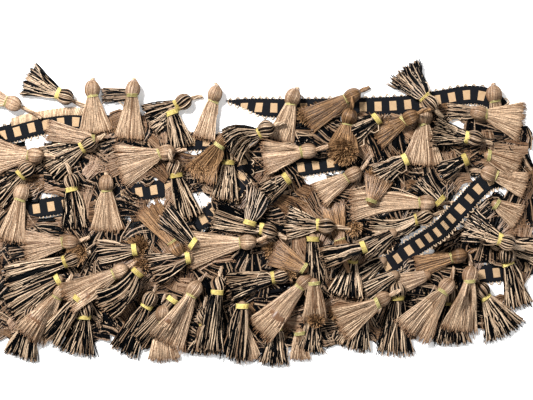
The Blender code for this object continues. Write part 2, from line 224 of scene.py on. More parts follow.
# Where along a strand its points are, and which of them the lowest, flat ones have.
STRAND_STEPS = np.array([0.0, 0.1, 0.28, 0.52, 0.78, 1.0])
FLAT_STEPS = [0, 2, 3, 5]
GROUND_SHARE = {"striped": 0.25, "plain": 0.2}  # the share of the strands that those have
GROUND_PRESS = (1.2, 3.0)  # the height in mm that they are pressed to
BLOCK_PITCH = 12.0  # the tape's beige rectangles, in mm
BLOCK_LONG = 5.6
BLOCK_WIDE = 7.6
BAND_THICK = 0.9
PICOT_PITCH = 5.8
GIMP_PITCH = 1.15
GIMP_OFFSET = 8.6  # from the tape's middle line to the gimp's
GIMP_ENDS = ((12, 132), (92, 126))  # on the drawing
HEAD_STEPS = 8
CORD_STEPS = 7
CAMERA_AWAY = 1.6  # above the heap's middling height, in metres
HEAP_LEVEL = 0.012
# Place and size in metres, and power in watts.
LIGHTS = (("key", (-0.6, 0.7, 1.2), 0.3, 54.0), ("fill", (0.9, -0.3, 1.4), 1.2, 8.0))

random = np.random.default_rng(11)
tassel_levels = []


def linear(code):
    """A colour that shaders take, from an sRGB hex value."""
    parts = [int(code[i:i + 2], 16) / 255 for i in (1, 3, 5)]
    return (*[c / 12.92 if c <= 0.04045 else ((c + 0.055) / 1.055) ** 2.4 for c in parts], 1.0)


def placed(x, y):
    """A place on the drawing in millimetres from the frame's origin."""
    return np.array([(x - MIDDLE[0]) * PLAN, (MIDDLE[1] - y) * PLAN])


def add_node(tree, kind, links=(), inputs=(), **settings):
    """Adds one shader node, sets its values and joins sockets to its inputs."""
    node = tree.nodes.new("ShaderNode" + kind)
    for name, value in settings.items():
        setattr(node, name, value)
    for name, value in dict(inputs).items():
        node.inputs[name].default_value = value
    for name, socket in dict(links).items():
        tree.links.new(socket, node.inputs[name])
    return node


def new_material(name):
    material = bpy.data.materials.new(name)
    material.use_nodes = True
    tree = material.node_tree
    tree.nodes.clear()
    out = add_node(tree, "OutputMaterial")
    return material, tree, out


def rayon_yarn(name, dark, light, cut_end_shade, other=None, rough=0.42):
    """Spun rayon: smooth bright fibres with a soft gloss along them, with painted shade, darker and
    browner, towards the cut ends.

    The yarn attribute gives each strand's tone, with painted shade in it where set so, its colour, and
    how far it is from the tie.
    """
    material, tree, out = new_material(name)
    yarn = add_node(tree, "Attribute", attribute_name="yarn")
    split = add_node(tree, "SeparateColor", {"Color": yarn.outputs["Color"]})
    tone = add_node(tree, "Mix", {"Factor": split.outputs["Red"]}, data_type="RGBA")
    tone.inputs["A"].default_value = linear(dark)
    tone.inputs["B"].default_value = linear(light)
    # painted shade: the last part of each strand, by its distance from the tie, turns to the darker
    # cut-end colour
    end_shade = add_node(tree, "MapRange", {"Value": split.outputs["Blue"]},
                    {"From Min": 0.86, "From Max": 1.0, "To Max": 0.75})
    ends = add_node(tree, "Mix", {"Factor": end_shade.outputs["Result"], "A": tone.outputs["Result"]},
                    data_type="RGBA")
    ends.inputs["B"].default_value = linear(cut_end_shade)
    base = ends.outputs["Result"]
    if other:
        swap = add_node(
            tree, "Mix", {"Factor": split.outputs["Green"], "A": base}, data_type="RGBA"
        )
        swap.inputs["B"].default_value = linear(other)
        base = swap.outputs["Result"]
    place = add_node(tree, "TexCoord")
    fibre = add_node(tree, "TexNoise", {"Vector": place.outputs["Object"]},
                     {"Scale": 900.0, "Detail": 2.0})
    mottle = add_node(tree, "MapRange", {"Value": fibre.outputs["Fac"]},
                      {"From Min": 0.3, "From Max": 0.7, "To Min": 0.6, "To Max": 1.2})
    shade = add_node(tree, "VectorMath", {0: base}, operation="SCALE")
    tree.links.new(mottle.outputs["Result"], shade.inputs["Scale"])
    bump = add_node(tree, "Bump", {"Height": fibre.outputs["Fac"]},
                    {"Strength": 0.35, "Distance": 0.0002})
    gloss = add_node(tree, "MapRange", {"Value": split.outputs["Green"]},
                     {"To Min": 0.4, "To Max": 0.05})
    shader = add_node(tree, "BsdfPrincipled",
                      {"Base Color": shade.outputs["Vector"], "Normal": bump.outputs["Normal"],
                       "Specular IOR Level": gloss.outputs["Result"]},
                      {"Roughness": rough, "IOR": 1.5})
    tree.links.new(shader.outputs["BSDF"], out.inputs["Surface"])
    return material


def woven_tape():
    """Black cotton tape, woven in fine cross ribs, with a row of beige blocks floated along it."""
    material, tree, out = new_material("woven cotton tape")
    strip = add_node(tree, "Attribute", attribute_name="strip")
    split = add_node(tree, "SeparateXYZ", {"Vector": strip.outputs["Vector"]})
    along, across = split.outputs["X"], split.outputs["Y"]
    turn = add_node(tree, "Math", {0: along}, {1: BLOCK_PITCH}, operation="MODULO")
    in_long = add_node(tree, "Math", {0: turn.outputs[0]}, {1: BLOCK_LONG}, operation="LESS_THAN")
    off = add_node(tree, "Math", {0: across}, operation="ABSOLUTE")
    in_wide = add_node(tree, "Math", {0: off.outputs[0]}, {1: BLOCK_WIDE / 2},
                       operation="LESS_THAN")
    block = add_node(tree, "Math", {0: in_long.outputs[0], 1: in_wide.outputs[0]},
                     operation="MULTIPLY")
    noise = add_node(tree, "TexNoise", {"Vector": strip.outputs["Vector"]},
                     {"Scale": 2.2, "Detail": 3.0})
    rib = add_node(tree, "TexWave", {"Vector": strip.outputs["Vector"]},
                   {"Scale": 0.38, "Distortion": 1.2, "Detail": 1.0, "Detail Scale": 2.0},
                   bands_direction="X")
    warp = add_node(tree, "TexWave", {"Vector": strip.outputs["Vector"]},
                    {"Scale": 0.34, "Distortion": 1.0, "Detail": 1.0}, bands_direction="Y")
    weave = add_node(tree, "Math", {0: rib.outputs["Fac"], 1: warp.outputs["Fac"]},
                     operation="MULTIPLY")
    black = add_node(tree, "Mix", {"Factor": weave.outputs[0]}, data_type="RGBA")
    black.inputs["A"].default_value = linear("#06070a")
    black.inputs["B"].default_value = linear("#24262c")
    beige = add_node(tree, "Mix", {"Factor": warp.outputs["Fac"]}, data_type="RGBA")
    beige.inputs["A"].default_value = linear("#8c6c4c")
    beige.inputs["B"].default_value = linear("#cfb28e")
    colour = add_node(tree, "Mix", {"Factor": block.outputs[0], "A": black.outputs["Result"],
                                    "B": beige.outputs["Result"]}, data_type="RGBA")
    height = add_node(tree, "Math", {0: weave.outputs[0], 1: noise.outputs["Fac"]},
                      operation="ADD")
    bump = add_node(tree, "Bump", {"Height": height.outputs[0]},
                    {"Strength": 0.7, "Distance": 0.0004})
    shader = add_node(tree, "BsdfPrincipled",
                      {"Base Color": colour.outputs["Result"], "Normal": bump.outputs["Normal"]},
                      {"Roughness": 0.72, "Specular IOR Level": 0.08})
    tree.links.new(shader.outputs["BSDF"], out.inputs["Surface"])
    return material


def mesh_object(name, points, quads, material, colours=None, strips=None):
    """A mesh from an array of points in mm and one of four-sided faces, riding on the frame."""
    points = np.column_stack([points[:, :2], np.maximum(points[:, 2], 0.0)])
    mesh = bpy.data.meshes.new(name)
    mesh.vertices.add(len(points))
    mesh.vertices.foreach_set("co", (points * MM).astype(np.float32).ravel())
    mesh.loops.add(len(quads) * 4)
    mesh.loops.foreach_set("vertex_index", quads.astype(np.int32).ravel())
    mesh.polygons.add(len(quads))
    mesh.polygons.foreach_set("loop_start", np.arange(0, len(quads) * 4, 4, dtype=np.int32))
    mesh.update(calc_edges=True)
    if colours is not None:
        layer = mesh.attributes.new("yarn", "FLOAT_COLOR", "POINT")
        layer.data.foreach_set("color", colours.astype(np.float32).ravel())
    if strips is not None:
        layer = mesh.attributes.new("strip", "FLOAT_VECTOR", "POINT")
        layer.data.foreach_set("vector", strips.astype(np.float32).ravel())
    mesh.polygons.foreach_set("use_smooth", np.full(len(quads), True))
    mesh.materials.append(material)
    obj = bpy.data.objects.new(name, mesh)
    bpy.context.scene.collection.objects.link(obj)
    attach(obj, "root")
    return obj


def tubes(paths, halves, sides):
    """Tubes of `sides` sides round many paths of equally many points: points and their faces."""
    count, steps, _ = paths.shape
    ahead = np.gradient(paths, axis=1)
    ahead /= np.linalg.norm(ahead, axis=2, keepdims=True) + 1e-9
    up = np.broadcast_to(np.array([0.13, 0.21, 0.97]), ahead.shape)
    over = np.cross(ahead, up)
    over /= np.linalg.norm(over, axis=2, keepdims=True) + 1e-9
    lift = np.cross(over, ahead)
    turn = np.arange(sides) * tau / sides
    ring = (over[:, :, None] * np.cos(turn)[:, None] + lift[:, :, None] * np.sin(turn)[:, None])
    halves = np.broadcast_to(halves, (count, steps))
    points = paths[:, :, None] + ring * halves[:, :, None, None]
    index = np.arange(count * steps * sides).reshape(count, steps, sides)
    after = np.roll(index, -1, axis=2)
    quads = np.stack([index[:, :-1], after[:, :-1], after[:, 1:], index[:, 1:]], axis=-1)
    return points.reshape(-1, 3), quads.reshape(-1, 4)


class Batch:
    """Gathers tubes and their colours until they become one mesh."""

    def __init__(self):
        self.points, self.quads, self.colours, self.count = [], [], [], 0

    def add(self, paths, halves, sides, colours):
        """colours holds red, green and blue for each point of each path."""
        points, quads = tubes(paths, halves, sides)
        self.points.append(points)
        self.quads.append(quads + self.count)
        spread = np.broadcast_to(colours[:, :, None], (*paths.shape[:2], sides, 3)).reshape(-1, 3)
        self.colours.append(np.column_stack([spread, np.ones(len(spread))]))
        self.count += len(points)

    def add_mesh(self, points, quads, colour):
        self.points.append(points)
        self.quads.append(quads + self.count)
        self.colours.append(np.tile([*colour, 1.0], (len(points), 1)))
        self.count += len(points)

    def make(self, name, material, slot):
        return mesh_object(name, np.vstack(self.points), np.vstack(self.quads), material,
                           colours=np.vstack(self.colours))


class Shape:
    """The plan of one tassel, as its solid has it."""

    def __init__(self, tassel):
        self.tassel = tassel
        self.tie = placed(tassel.tie_x, tassel.tie_y)
        reach = placed(tassel.end_x, tassel.end_y) - self.tie
        self.long = hypot(*reach)
        self.ahead = reach / self.long
        self.side = np.array([-self.ahead[1], self.ahead[0]])
        self.half = tassel.half * PLAN
        self.locks = 5 if tassel.half >= 17 else 4
        self.cord = HANGERS.get(tassel[1:3], HANGER_LONG)

    def trunk(self):
        return [
            (self.tie - self.ahead * (HEAD_LONG + self.cord), HANGER_HALF),
            (self.tie - self.ahead * HEAD_LONG, HANGER_HALF * 1.3),
            (self.tie - self.ahead * HEAD_LONG * 0.8, HEAD_HALF * 0.8),
            (self.tie - self.ahead * HEAD_LONG * 0.35, HEAD_HALF),
            (self.tie, NECK_HALF),
        ]

    def skirt(self, along, across):
        """Plan places this far down the skirt, 0 to 1, and this far, -1 to 1, across it."""
        along, across = np.broadcast_arrays(np.asarray(along, float), np.asarray(across, float))
        turn = atan2(self.half - NECK_HALF, self.long) * across
        start = self.tie + self.side * (NECK_HALF * across)[..., None]
        ahead = self.ahead * np.cos(turn)[..., None] + self.side * np.sin(turn)[..., None]
        bow = self.side * (self.tassel.bend * PLAN * np.sin(pi * along))[..., None]
        return start + ahead * (self.long * along)[..., None] + bow

    def skirt_half(self, along):
        along = np.asarray(along, float)
        full = NECK_HALF + (SKIRT_HALF - NECK_HALF) * np.minimum(along / 0.3, 1)
        return full + (END_HALF - SKIRT_HALF) * along


class Levels:
    """Reads the heights of a solid's corners from their plan places."""

    def __init__(self, node):
        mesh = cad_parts[node].data
        points = np.zeros(len(mesh.vertices) * 3)
        mesh.vertices.foreach_get("co", points)
        self.points = points.reshape(-1, 3) / MM
        self.tree = kdtree.KDTree(len(self.points))
        for i, (x, y, _) in enumerate(self.points):
            self.tree.insert((x, y, 0.0), i)
        self.tree.balance()

    def middle(self, place):
        """Half way between the lowest and highest corner over this place."""
        found = self.tree.find_range((*place, 0.0), 0.06)
        if not found:
            found = [self.tree.find((*place, 0.0))]
        heights = [self.points[i][2] for _, i, _ in found]
        return (min(heights) + max(heights)) / 2


def tassel_heights(shape, node=None, base=0.0):
    """Heights of the trunk's middle line, and of the skirt at each step down and each lock."""
    middles = np.array([-1 + (2 * lock + 1) / shape.locks for lock in range(shape.locks)])
    if node is None:
        trunk = np.array([HANGER_HALF, HANGER_HALF, HEAD_HALF, HEAD_HALF, NECK_HALF]) + base
        skirt = np.tile((shape.skirt_half(np.array(LOCK_STEPS)) + base)[:, None], shape.locks)
        skirt[-1] -= base / 2
        return trunk, middles, skirt
    levels = Levels(node)
    tassel_levels.append(levels)
    trunk = np.array([
        levels.middle(place + shape.side * wide) for place, wide in shape.trunk()
    ])
    reach = LOCK_GAP / shape.locks
    skirt = [np.full(shape.locks, trunk[-1])]
    for along in LOCK_STEPS[1:]:
        skirt.append([levels.middle(shape.skirt(along, m + reach)) for m in middles])
    return trunk, middles, np.array(skirt)


def skirt_height(middles, skirt, along, across):
    """The height of the skirt's middle surface at each strand's points."""
    rows = np.stack([np.interp(across, middles, row) for row in skirt])
    steps = np.array(LOCK_STEPS)
    place = np.clip(np.searchsorted(steps, along, side="right") - 1, 0, len(steps) - 2)
    share = (along - steps[place]) / (steps[place + 1] - steps[place])
    strand = np.arange(len(across))[:, None]
    low = rows[place, strand]
    high = rows[place + 1, strand]
    return low * (1 - share) + high * share


def stripes(count, widest_light, widest_black):
    """Which of the strands, side by side, are black: bundles of a few strands of each colour."""
    black = np.zeros(count)
    place, dark = 0, random.random() < 0.5
    while place < count:
        width = random.integers(1, (widest_black if dark else widest_light) + 1)
        black[place:place + width] = dark
        place += width
        dark = not dark
    return black


def skirt_strands(batch, shape, middles, skirt, tone_low, tone_high, share=1.0, flat=0.0):
    """The skirt: many strands from the tie to the cut end, most of them on its upper side.

    share is how many of them there are, and flat presses them down to this many mm.
    """
    yarn = shape.tassel.yarn
    count = STRANDS[yarn] * (0.5 + 0.5 * min(shape.tassel.half / 18, 1.25))
    count = int(count * share)
    across = np.sort(random.uniform(-1, 1, count))
    black = np.zeros(count)
    if yarn == "striped":
        # the flat, lowest skirts have wider black bundles: black yarn, made heavier there as painted
        # shade
        black = stripes(count, 3, 7 if flat else 4)
    upper = random.random(count) < UPPER_SHARE
    depth = random.uniform(0.5, 1.0, count) * np.where(upper, 1, -0.8)
    drift = random.normal(0, 0.06 if yarn == "striped" else 0.045, (count, 1))
    curl = random.normal(0, 0.8 if yarn == "striped" else 0.45, (count, 1))
    stray = random.random((count, 1)) < STRAY_SHARE
    drift = np.where(stray, drift * 3, drift)
    curl = np.where(stray, curl * 3, curl)
    length = 1 - 0.05 * depth[:, None] + random.normal(0, 0.025, (count, 1))
    steps = STRAND_STEPS[FLAT_STEPS] if flat else STRAND_STEPS
    along = steps[None] * length
    wide = across[:, None] + drift * along**1.5
    plan = shape.skirt(along, wide)
    bend = np.sin(along * pi * random.uniform(0.7, 3.0, (count, 1))) * curl
    plan += shape.side * bend[..., None]
    along_in = np.clip(along, 0, 1)
    middle = skirt_height(middles, skirt, along_in, across)
    bulge = shape.skirt_half(along_in)
    rim = np.sqrt(1 - (0.93 * across[:, None]) ** 2)
    height = middle + depth[:, None] * bulge * rim * 0.95
    height += random.normal(0, 0.3, (count, 1)) * along_in
    if flat:
        height = flat * (0.45 + 0.55 * np.abs(depth[:, None])) + 0 * height
    height = np.maximum(height, STRAND_HALF[yarn])
    paths = np.concatenate([plan, height[..., None]], axis=2)
    halves = STRAND_HALF[yarn] * random.uniform(0.75, 1.2, (count, 1))
    halves = halves * np.where(steps == 1, 0.65, 1) * (1.25 if flat else 1)
    # painted shade: strands lower in the skirt, and all on its under side, get darker tones
    tone = random.uniform(tone_low, tone_high, count) * np.clip(1.5 * depth, 0.2, 1)
    tone = tone[:, None] + 0 * along
    colours = np.stack([tone, black[:, None] + 0 * along, along_in], axis=-1)
    batch.add(paths, halves, 3, colours)


def core_mesh(shape, middles, skirt, thick=0.5):
    """A thin body inside the strands, so that nothing shows through between them."""
    across = np.linspace(-0.9, 0.9, 9)
    along = np.broadcast_to(np.array([0.0, 0.15, 0.35, 0.6, 0.93]), (9, 5))
    plan = shape.skirt(along, across[:, None])
    middle = skirt_height(middles, skirt, along, across)
    bulge = shape.skirt_half(along) * np.sqrt(1 - (0.95 * across[:, None]) ** 2) * thick
    top = np.concatenate([plan, (middle + bulge)[..., None]], axis=2).transpose(1, 0, 2)
    low = np.concatenate([plan, (middle - bulge)[..., None]], axis=2).transpose(1, 0, 2)
    rings = np.concatenate([top, low[:, ::-1]], axis=1)
    steps, sides = rings.shape[:2]
    index = np.arange(steps * sides).reshape(steps, sides)
    after = np.roll(index, -1, axis=1)
    quads = np.stack([index[:-1], index[1:], after[1:], after[:-1]], axis=-1).reshape(-1, 4)
    last = index[-1]
    half = sides // 2
    caps = [
        (last[k], last[sides - 1 - k], last[sides - 2 - k], last[k + 1]) for k in range(half - 1)
    ]
    return rings.reshape(-1, 3), np.vstack([quads, caps])


def head(batch, shape, trunk, tone_low, tone_high):
    """The head: yarn laid from crown to tie over a round mould, or in open loops if striped."""
    striped = shape.tassel.yarn == "striped"
    theta = np.linspace(0.12, 2.43, HEAD_STEPS)
    if striped:
        share = np.linspace(0, 1, HEAD_STEPS)
        wide = 2.0 + 3.9 * np.sin(pi * share**0.8) ** 0.8 + 1.6 * share
    else:
        share = (1 - np.cos(theta)) / 1.76
        wide = HEAD_HALF * np.sin(theta)
    back = HEAD_LONG * (1 - share)
    line = shape.tie - shape.ahead * back[:, None]
    height = np.interp(-back, [-HEAD_LONG * 0.35, 0], trunk[3:])
    centre = np.column_stack([line, height])
    count = 24 if striped else 50
    turn = np.arange(count) * tau / count + random.normal(0, 0.04, count)
    twist = turn[:, None] + share * (random.normal(0, 0.9) if striped else 0.3)
    lobes = random.uniform(0, tau, 2)
    size = (wide * 0.94)[None] * (1 + random.normal(0, 0.05 if striped else 0.012, (count, 1)))
    size *= uneven(twist, lobes)
    paths = around(centre, shape.side, twist, size)
    half = np.full((count, HEAD_STEPS), 0.62 if striped else 0.5)
    half[:, 0] *= 0.7
    black = np.zeros((count, HEAD_STEPS))
    if striped:
        black += stripes(count, 3, 1)[:, None]
    tone = random.uniform(tone_low, tone_high * 0.75, (count, 1))
    # painted light and shade: strands on top and at the middle of the head lighter, at its sides,
    # crown and tie darker
    tone = tone * (0.6 + 0.4 * np.sin(pi * share)) * (0.5 + 0.5 * np.sin(twist).clip(0, 1))
    colours = np.stack([tone, black, 0 * tone], axis=-1)
    batch.add(paths, half, 3, colours)
    points, quads = mould(centre, shape.side, wide * (0.86 if striped else 0.9), lobes)
    # painted shade: under the open striped loops the mould is dark, near black
    batch.add_mesh(points, quads,
                   (0.0 if striped else 0.5 * (tone_low + tone_high), 0.7 * striped, 0.0))
    cord(batch, shape, trunk, back[0], tone_low, tone_high)


def mould(centre, side, wide, lobes):
    """A round body along a middle line: its points and their faces."""
    turn = np.linspace(0, tau, 13)[:, None] + np.zeros((1, len(wide)))
    points = around(centre, side, turn, wide[None] * uneven(turn, lobes))
    index = np.arange(points.shape[0] * len(wide)).reshape(-1, len(wide))
    quads = np.stack([index[:-1, :-1], index[1:, :-1], index[1:, 1:], index[:-1, 1:]], axis=-1)
    return points.reshape(-1, 3), quads.reshape(-1, 4)


def neck_end(batch, shape, trunk):
    """The closed end of a tassel whose head is pushed down into the heap."""
    slope = np.linspace(0.05, pi / 2, 5)
    line = shape.tie - shape.ahead * (5.0 * np.cos(slope))[:, None]
    centre = np.column_stack([line, np.full(len(slope), trunk[-1])])
    points, quads = mould(centre, shape.side, NECK_HALF * np.sin(slope), (0.0, 0.0))
    batch.add_mesh(points, quads, (0.15, 0.0, 0.0))


def uneven(turn, lobes):
    """A head's size at each turn round it: hand-made heads are never quite round."""
    return 0.96 + 0.05 * np.sin(2 * turn + lobes[0]) + 0.035 * np.sin(5 * turn + lobes[1])


def around(centre, side, turn, size):
    """Paths along a middle line, each at its own turn and distance from it, above the surface."""
    paths = centre[None] + (np.cos(turn) * size)[..., None] * np.array([*side, 0.0])
    paths[..., 2] = np.maximum(paths[..., 2] + np.sin(turn) * size, 0.7)
    return paths


def cord(batch, shape, trunk, crown, tone_low, tone_high):
    """The hanging cord: a loose twist of yarn from the head's crown aside and back to the tape."""
    share = np.linspace(0, 1, CORD_STEPS)
    ends = np.array([crown - 1.0, HEAD_LONG, HEAD_LONG + shape.cord])
    back = ends[0] + (ends[2] - ends[0]) * share
    aside = random.choice([-1, 1]) * random.uniform(0.5, 3.0) * share**1.5
    line = shape.tie - shape.ahead * back[:, None] + shape.side * aside[:, None]
    height = np.interp(back, ends, [(trunk[3] + trunk[1]) / 2, trunk[1], trunk[0]])
    count = 8
    twist = np.arange(count)[:, None] * tau / count + share * random.uniform(2.0, 4.0)
    spread = random.uniform(0.7, 1.0, (count, 1)) * (1.2 + 0.5 * np.sin(pi * share))
    paths = around(np.column_stack([line, height]), shape.side, twist, spread)
    tone = random.uniform(tone_low, tone_high, (count, 1)) + 0 * twist
    batch.add(paths, np.full(twist.shape, 0.6), 3,
              np.stack([tone, 0 * tone, 0 * tone], axis=-1))


def tie(batch, shape, trunk, yellow):
    """A thread wound a few times round the neck."""
    winds = 4 if yellow else 3
    pitch = 1.0
    turn = np.linspace(0, tau * winds, winds * 11)
    half = NECK_HALF + (0.6 if yellow else 0.4)
    lean = random.normal(0, 0.12)
    back = (turn / tau - winds / 2) * pitch + lean * half * np.cos(turn)
    line = shape.tie + shape.ahead * (back[:, None] - 0.4)
    plan = line + shape.side * (np.cos(turn) * half)[:, None]
    height = np.maximum(trunk[-1] + np.sin(turn) * half, 0.6)
    path = np.column_stack([plan, height])[None]
    tone = random.uniform(0.3, 1.0) + 0.15 * np.sin(turn * 3)
    colours = np.stack([np.clip(tone, 0, 1), 0 * turn, 0 * turn], axis=-1)[None]
    batch.add(path, np.full(path.shape[:2], 0.58 if yellow else 0.45), 4, colours)


def make_tassels(finishes):
    """Every tassel, in a piece of its own, standing for its solid where it has one."""
    jobs = [(f"{i:02}", Tassel(*t), f"tassel_{i:02}", 0.0) for i, t in enumerate(TASSELS, 1)]
    jobs += [(f"deep_{i:02}", t, None, base) for i, (t, base) in enumerate(DEEPER, 1)]
    for label, tassel, node, base in jobs:
        shape = Shape(tassel)
        if base == ON_TOP:
            base = top_near((shape.tie + shape.skirt(1.0, 0.0)) / 2, shape.long / 3) * 0.85
        trunk, middles, skirt = tassel_heights(shape, node, base)
        brown = tassel[1:3] in BROWN
        striped = tassel.yarn == "striped"
        # painted shade: tassels in BROWN and the deeper ones without a solid get darker tones
        low, high = (0.0, 0.8) if brown else (0.05, 0.92) if node else (0.0, 0.75)
        body = Batch()
        skirt_strands(body, shape, middles, skirt, low, high, 1.0 if node else 0.7)
        points, quads = core_mesh(shape, middles, skirt)
        # painted shade: the body seen between the strands takes the darkest tone, black in striped
        # ones
        body.add_mesh(points, quads, (0.0, 1.0 if striped else 0.0, 0.0))
        if node or tassel[1:3] in SHOWN:
            head(body, shape, trunk, low, high)
        else:
            neck_end(body, shape, trunk)
        kind = "striped" if striped else "plain"
        slot = f"{'striped' if striped else 'beige'}_yarn"
        finish = finishes["brown" if brown and not striped else kind]
        piece = body.make(f"{kind}_tassel_{label}", finish, slot)
        if node:
            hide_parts(node)
        if tassel[1:3] in HIDDEN_TIES:
            continue
        bound = Batch()
        tie(bound, shape, trunk, striped)
        bound.make(f"tie_{label}", finishes["yellow" if striped else "olive"], "yellow_tie")


def inside(points):
    """Which places on the drawing lie within the heap's ground and out of its clear places."""
    x, y = points[:, 0], points[:, 1]
    found = np.zeros(len(points), bool)
    for (ax, ay), (bx, by) in zip(GROUND, GROUND[1:] + GROUND[:1]):
        if ay != by:
            found ^= ((ay > y) != (by > y)) & (x < ax + (bx - ax) * (y - ay) / (by - ay))
    for cx, cy, half_x, half_y in CLEARINGS:
        found &= ((x - cx) / half_x) ** 2 + ((y - cy) / half_y) ** 2 > 1
    shown = np.array(TAPE_ROUTE["top"][3:], float)
    for start, end in zip(shown, shown[1:]):
        reach = end - start
        share = np.clip((points - start) @ reach / (reach @ reach), 0, 1)
        found &= np.hypot(*(points - start - share[:, None] * reach).T) > TAPE_CLEAR
    return found


def covered(points, tassel, margin):
    """Which places on the drawing lie under or over a tassel's skirt."""
    reach = np.array([tassel.end_x - tassel.tie_x, tassel.end_y - tassel.tie_y])
    long = hypot(*reach)
    ahead = reach / long
    away = points - [tassel.tie_x, tassel.tie_y]
    along = away @ ahead / long
    across = away @ np.array([-ahead[1], ahead[0]])
    wide = NECK_HALF / PLAN * (1 - along) + tassel.half * along
    skirt = (along > 0) & (along < 0.95) & (np.abs(across) < wide - margin)
    if tassel in TASSELS:
        skirt |= (along > -14 / long) & (along <= 0) & (np.abs(across) < 7 - margin / 2)
    return skirt


def make_ground_tassels(finishes):
    """The lowest tassels, pressed flat by those above, of which only parts show between them."""
    batches = {kind: Batch() for kind in ("striped", "plain", "brown")}
    xs, ys = np.meshgrid(np.arange(-20, 545, 4), np.arange(104, 352, 4))
    spots = np.column_stack([xs.ravel(), ys.ravel()]).astype(float)
    spots = random.permutation(spots[inside(spots)])
    laid = []
    for margin, own_margin, sizes in (
        (3, -1, ((36, random.uniform(14, 20)), (28, 11), (22, 8), (15, 5))),
        (4, 2, ((24, 8), (15, 5))),
    ):
        bare = np.ones(len(spots), bool)
        for tassel in TASSELS + [t for t, _ in DEEPER]:
            bare &= ~covered(spots, tassel, margin)
        for tassel in laid:
            bare &= ~covered(spots, tassel, own_margin)
        for number in range(len(spots)):
            if bare[number]:
                tassel = flat_tassel(spots[number], sizes)
                if tassel:
                    bare &= ~covered(spots, tassel, own_margin)
                    laid.append(tassel)
    for tassel in laid:
        kind = random.choice(["striped", "striped", "striped", "striped", "plain", "brown"])
        striped = kind == "striped"
        shape = Shape(tassel._replace(yarn="striped" if striped else "plain"))
        _, middles, skirt = tassel_heights(shape)
        press = random.uniform(*GROUND_PRESS)
        share = GROUND_SHARE[shape.tassel.yarn]
        # painted shade: the lowest tassels get only the darkest tones, 0 to 0.35
        skirt_strands(batches[kind], shape, middles, skirt, 0.0, 0.35, share, press)
        points, quads = core_mesh(shape, middles, np.full_like(skirt, 0.35 * press), 0.06)
        # painted shade: the body seen between these strands takes the darkest tone, black in striped
        # ones
        batches[kind].add_mesh(points, quads, (0.0, float(striped), 0.0))
    for kind, batch in batches.items():
        slot = "striped_yarn" if kind == "striped" else "beige_yarn"
        batch.make(f"ground_{kind}_skirts", finishes[kind], slot)


def flat_tassel(spot, sizes):
    """A skirt round a place on the drawing, the largest that stays on the heap's ground."""
    for long, half in sizes:
        for turn in random.permutation(12) * tau / 12:
            ahead = np.array([cos(turn), sin(turn)])
            over = np.array([-ahead[1], ahead[0]])
            tie, end = spot - ahead * long * 0.6, spot + ahead * long * 0.4
            down, across = np.meshgrid(np.linspace(0, 1, 6), np.linspace(-1, 1, 5))
            wide = (4 + (half - 4) * down) * across
            marks = tie + ahead * (long * down)[..., None] + over * wide[..., None]
            if inside(marks.reshape(-1, 2)).all():
                return Tassel("", *tie, *end, half, random.uniform(-5, 5), 0)
    return None


def top_near(place, reach):
    """The height of the highest solid corner this near to a plan place, in mm."""
    heights = [0.0]
    for levels in tassel_levels:
        near = np.hypot(*(levels.points[:, :2] - place).T) < reach
        if near.any():
            heights.append(levels.points[near, 2].max())
    return max(heights)


def make_brushes(finish):
    """Cut ends that face up: short strands that lean out from a point below, browned and darkened as
    painted shade.
    """
    batch = Batch()
    for x, y, half, rise in BRUSHES:
        middle = placed(x, y)
        low = max(top_near(middle, half * PLAN * 0.7) - rise * 0.8, 1.0)
        count = int(half * half * 1.9)
        lean = np.sqrt(random.random((count, 1))) * half * PLAN
        turn = random.uniform(0, tau, (count, 1))
        share = np.linspace(0, 1, 4)[None]
        out = lean * (0.45 + 0.55 * share**0.8)
        tilt = random.uniform(-0.35, 0.35, (2, 1, 1)) * half * PLAN * share
        wander = random.normal(0, 0.9, (2, count, 1)) * share**2 + tilt
        paths = np.stack([
            middle[0] + np.cos(turn) * out + wander[0],
            middle[1] + np.sin(turn) * out + wander[1],
            low + share * rise * (1 - 0.5 * (lean / half / PLAN) ** 2),
        ], axis=-1)
        halves = np.full((count, 4), 0.42) * np.array([1, 1, 1, 0.7])
        # painted shade: darker towards the roots, down in the heap
        tone = random.uniform(0, 1, (count, 1)) * (0.25 + 0.75 * share)
        colours = np.stack([tone, 0 * tone, 0 * tone], axis=-1)
        batch.add(paths, halves, 3, colours)
    batch.make("upturned_cut_ends", finish, "beige_yarn")


def smooth_route(points, step):
    """Points an even step apart on a smooth curve through the given ones."""
    points = np.array([placed(*point) for point in points])
    ends = np.vstack([2 * points[0] - points[1], points, 2 * points[-1] - points[-2]])
    fine = []
    for a, b, c, d in zip(ends, ends[1:], ends[2:], ends[3:]):
        for t in np.linspace(0, 1, 24, endpoint=False):
            fine.append(
                0.5 * (2 * b + (c - a) * t + (2 * a - 5 * b + 4 * c - d) * t**2
                       + (3 * b - a - 3 * c + d) * t**3)
            )
    fine = np.array([*fine, points[-1]])
    run = np.concatenate([[0], np.cumsum(np.hypot(*np.diff(fine, axis=0).T))])
    spaced = np.linspace(0, run[-1], round(run[-1] / step) + 1)
    return np.column_stack([np.interp(spaced, run, fine[:, axis]) for axis in (0, 1)])


def tape_halves(line):
    """Half the tape's width at each section: its first end is cut to a slanting point."""
    run = np.concatenate([[0], np.cumsum(np.hypot(*np.diff(line, axis=0).T))])
    return TAPE_WIDE / 2 * np.clip(0.12 + run / TAPE_POINT, 0, 1)


